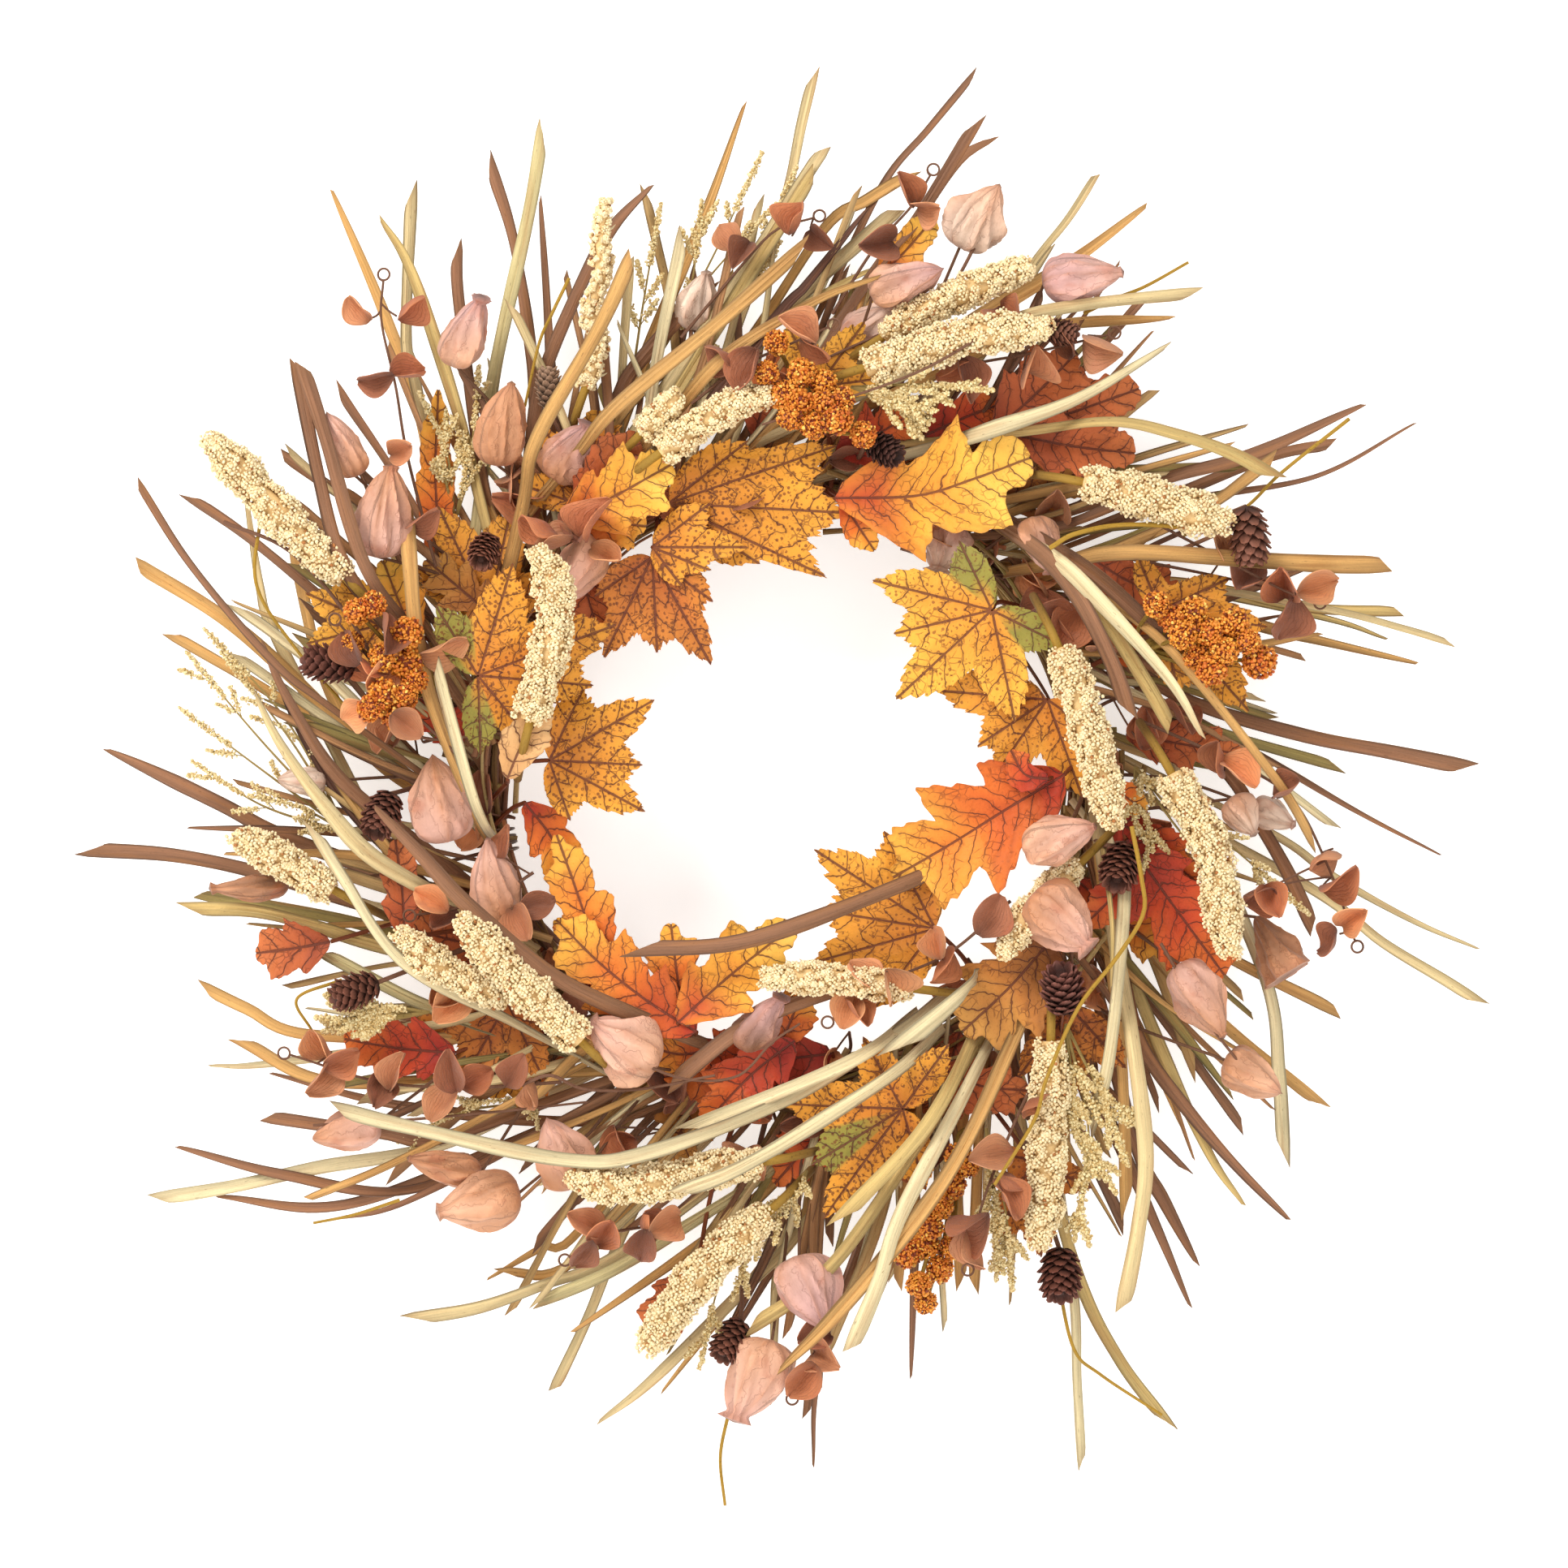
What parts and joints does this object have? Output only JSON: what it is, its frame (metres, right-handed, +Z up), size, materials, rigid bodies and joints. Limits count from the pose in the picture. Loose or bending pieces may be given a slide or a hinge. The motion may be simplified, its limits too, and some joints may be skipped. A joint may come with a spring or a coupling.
{
  "type": "harvest door wreath",
  "caption": "Round autumn door wreath: a stem ring wired all round with leaning grass sprays, leaves, seed spikes, berries, cones and pods, on a swinging wire hanging loop.",
  "frame": {"origin": "the point inside the top of the hanging loop where a door hook carries it", "axes": "+X to the right seen from the front, +Z up, the front faces -Y and the door is on the +Y side"},
  "size_m": [0.6067, 0.0944, 0.6065],
  "materials": {
    "ring_stems": "dry bound stems, matte",
    "wire": "thin brown-painted florist wire",
    "grass": "dry fibrous blades from cream and straw to brown, matte",
    "seed_head": "cream grains packed round a stem",
    "pod": "thin papery husk, peach to mauve, matte",
    "cone": "dark brown scales, matte",
    "berry": "orange granules",
    "maple_leaf": "printed cloth leaf with dark veins and speckles",
    "oak_leaf": "printed cloth leaf shading from orange to red"
  },
  "bodies": {
    "wreath": {"base_ring": "ring_stems", "berry_sprig_bottom": "berry", "berry_sprig_left": "berry", "berry_sprig_right": "berry", "berry_sprig_top": "berry", "binding_wire_left": "wire", "binding_wire_right": "wire", "grass_spray_bottom": "grass", "grass_spray_left": "grass", "grass_spray_left_high": "grass", "grass_spray_left_low": "grass", "grass_spray_low_left": "grass", "grass_spray_low_right": "grass", "grass_spray_lower_left": "grass", "grass_spray_lower_right": "grass", "grass_spray_right": "grass", "grass_spray_right_high": "grass", "grass_spray_right_low": "grass", "grass_spray_top": "grass", "grass_spray_top_left": "grass", "grass_spray_top_right": "grass", "grass_spray_top_tall": "grass", "grass_spray_upper_left": "grass", "grass_spray_upper_right": "grass", "hanger_link": "wire", "lantern_pod_bottom": "pod", "lantern_pod_left": "pod", "lantern_pod_lower_left": "pod", "lantern_pod_lower_right": "pod", "lantern_pod_right": "pod", "lantern_pod_top": "pod", "lantern_pod_top_left": "pod", "lantern_pod_top_right": "pod", "lantern_pod_upper_left": "pod", "maple_leaf_bottom": "maple_leaf", "maple_leaf_left_high": "maple_leaf", "maple_leaf_lower_right": "maple_leaf", "maple_leaf_right": "maple_leaf", "maple_leaf_right_low": "maple_leaf", "maple_leaf_top": "maple_leaf", "maple_leaf_upper_left": "maple_leaf", "oak_leaf_bottom": "oak_leaf", "oak_leaf_left": "oak_leaf", "oak_leaf_right": "oak_leaf", "oak_leaf_top_right": "oak_leaf", "pine_cone_left": "cone", "pine_cone_lower_left": "cone", "pine_cone_lower_right": "cone", "pine_cone_upper_right": "cone", "seed_spike_bottom": "seed_head", "seed_spike_far_right": "seed_head", "seed_spike_left": "seed_head", "seed_spike_lower_left": "seed_head", "seed_spike_lower_right": "seed_head", "seed_spike_right": "seed_head", "seed_spike_top": "seed_head", "seed_spike_top_right": "seed_head", "seed_spike_upper_left": "seed_head", "seed_spike_upper_right": "seed_head"},
    "loop": {"hanging_loop": "wire"}
  },
  "joints": [
    {"name": "loop_swing", "type": "hinge", "parent": "wreath", "child": "loop", "pos_m": [0, 0, -0.0329], "axis": [-1, 0, 0], "range_deg": [0, 180]}
  ]
}
